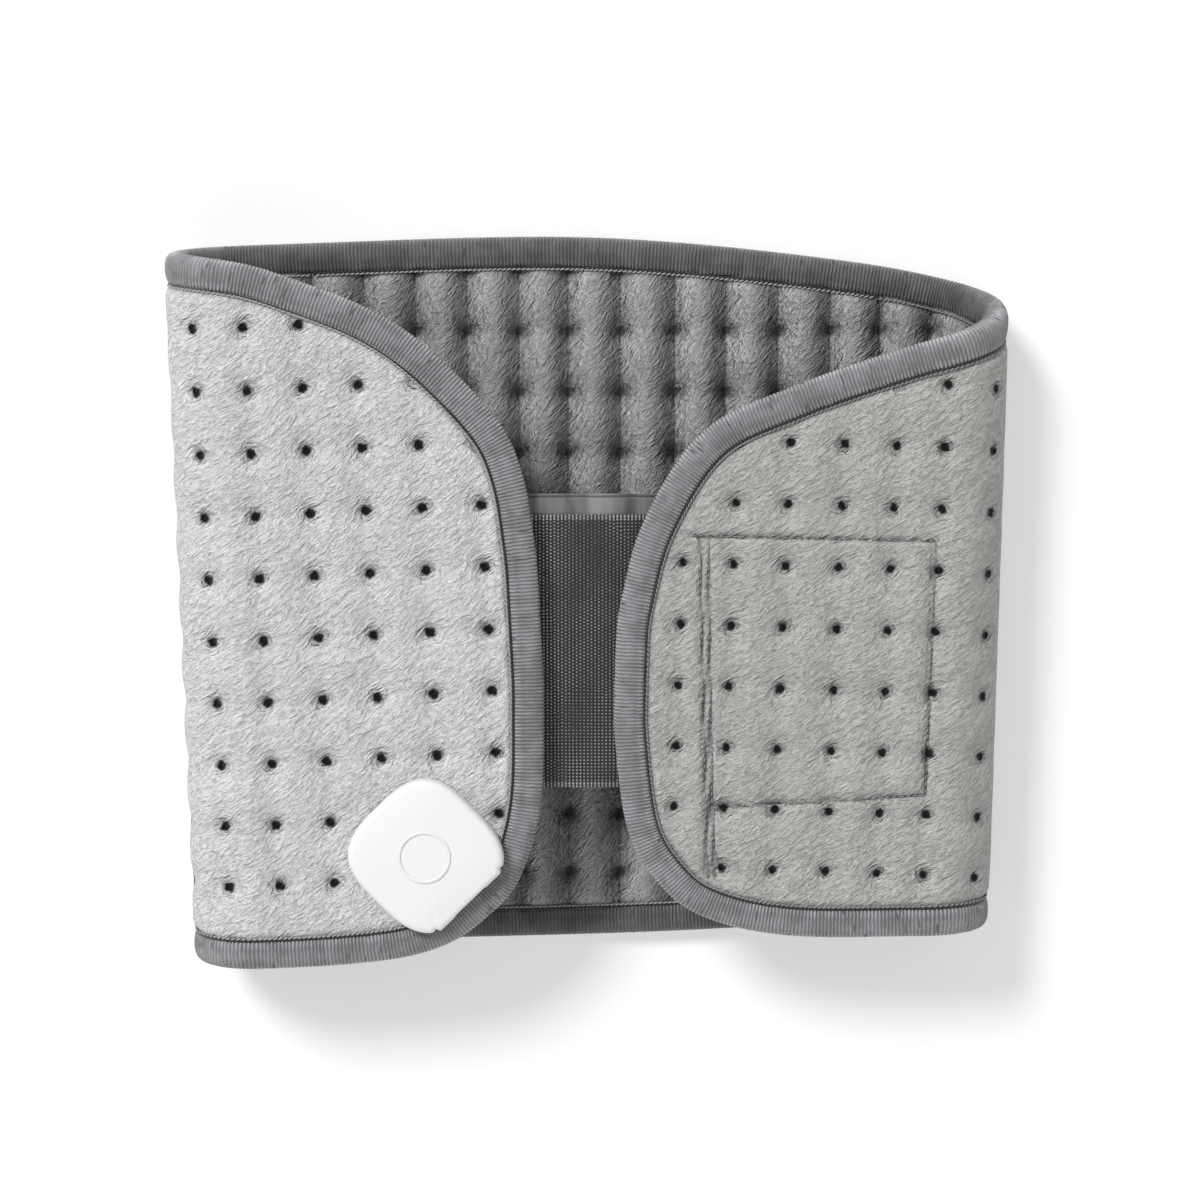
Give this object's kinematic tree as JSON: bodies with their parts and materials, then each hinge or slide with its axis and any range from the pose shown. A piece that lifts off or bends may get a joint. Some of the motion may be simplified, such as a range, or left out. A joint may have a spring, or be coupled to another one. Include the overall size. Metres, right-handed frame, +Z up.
{
  "type": "heated waist belt",
  "caption": "Padded electric heat wrap for the waist and back, folded into a loop, with a wide elastic strap and a white connector housing on one flap.",
  "frame": {"origin": "middle of the footprint, on the surface that the belt's back wall lies on", "axes": "+X along the folded belt toward the flap without the connector, +Y across the belt toward its edge that is worn uppermost, +Z up from the back wall toward the flaps"},
  "size_m": [0.3536, 0.308, 0.0715],
  "materials": {
    "black_plastic": "black moulded plastic",
    "brass": "brass pins",
    "cable": "silicone insulated wire",
    "ceramic": "cream ceramic body",
    "circuit_board": "green glass-fibre board",
    "elastic": "dark grey knitted elastic",
    "fleece": "felted carrier for the heating wire",
    "grey_ring": "light grey plastic",
    "grosgrain": "ribbed grey binding tape",
    "hook_and_loop": "black hook and loop tape",
    "nylon": "grey nylon",
    "plush": "short grey plush pile, quilted by spot welds",
    "plush_inner": "short grey plush pile, quilted",
    "smooth_tape": "smooth dark grey tape",
    "steel": "plated steel",
    "thread": "grey sewing thread",
    "wadding": "white polyester wadding",
    "white_shell": "satin white moulded plastic"
  },
  "bodies": {
    "back_panel": {"back_bottom_binding": "grosgrain", "back_heater_fleece": "fleece", "back_heating_wire": "cable", "back_inner_cover": "plush_inner", "back_outer_cover": "plush", "back_top_binding": "grosgrain", "back_wadding": "wadding", "temperature_sensor": "ceramic"},
    "right_flap": {"box_stitching": "thread", "right_binding": "grosgrain", "right_heater_fleece": "fleece", "right_heating_wire": "cable", "right_inner_cover": "plush_inner", "right_outer_cover": "plush", "right_wadding": "wadding", "strap_anchor": "elastic"},
    "left_flap": {"circuit_board": "circuit_board", "contact_carrier": "black_plastic", "contact_pin_1": "brass", "contact_pin_2": "brass", "contact_pin_3": "brass", "lead_wire_1": "cable", "lead_wire_2": "cable", "left_binding": "grosgrain", "left_heater_fleece": "fleece", "left_heating_wire": "cable", "left_inner_cover": "plush_inner", "left_outer_cover": "plush", "left_wadding": "wadding", "loop_patch": "hook_and_loop", "socket_backing_plate": "nylon", "socket_base": "nylon", "socket_ring": "grey_ring", "socket_screw_1": "steel", "socket_screw_2": "steel", "socket_screw_3": "steel", "socket_screw_4": "steel", "socket_shell": "white_shell", "thermal_cutout": "ceramic"},
    "strap": {"elastic_strap": "elastic", "hook_tape": "hook_and_loop", "strap_end_hem": "grosgrain", "strap_guard_tape": "smooth_tape"}
  },
  "joints": [
    {"name": "left_flap_open", "type": "hinge", "parent": "back_panel", "child": "left_flap", "pos_m": [-0.17326, -0.00034, 0.03125], "axis": [0.0262, -0.9997, 0], "range_deg": [0, 150]},
    {"name": "right_flap_open", "type": "hinge", "parent": "back_panel", "child": "right_flap", "pos_m": [0.17492, -0.00006, 0.03125], "axis": [0.0175, 0.9998, 0], "range_deg": [0, 105]},
    {"name": "strap_fold", "type": "hinge", "parent": "right_flap", "child": "strap", "pos_m": [0.01448, 0.00549, 0.0475], "axis": [0, -1, 0], "range_deg": [0, 165]}
  ],
  "couplings": [
    {"joint": "right_flap_open", "follows": "left_flap_open", "ratio": 0.7},
    {"joint": "strap_fold", "follows": "left_flap_open", "ratio": 1.1}
  ]
}
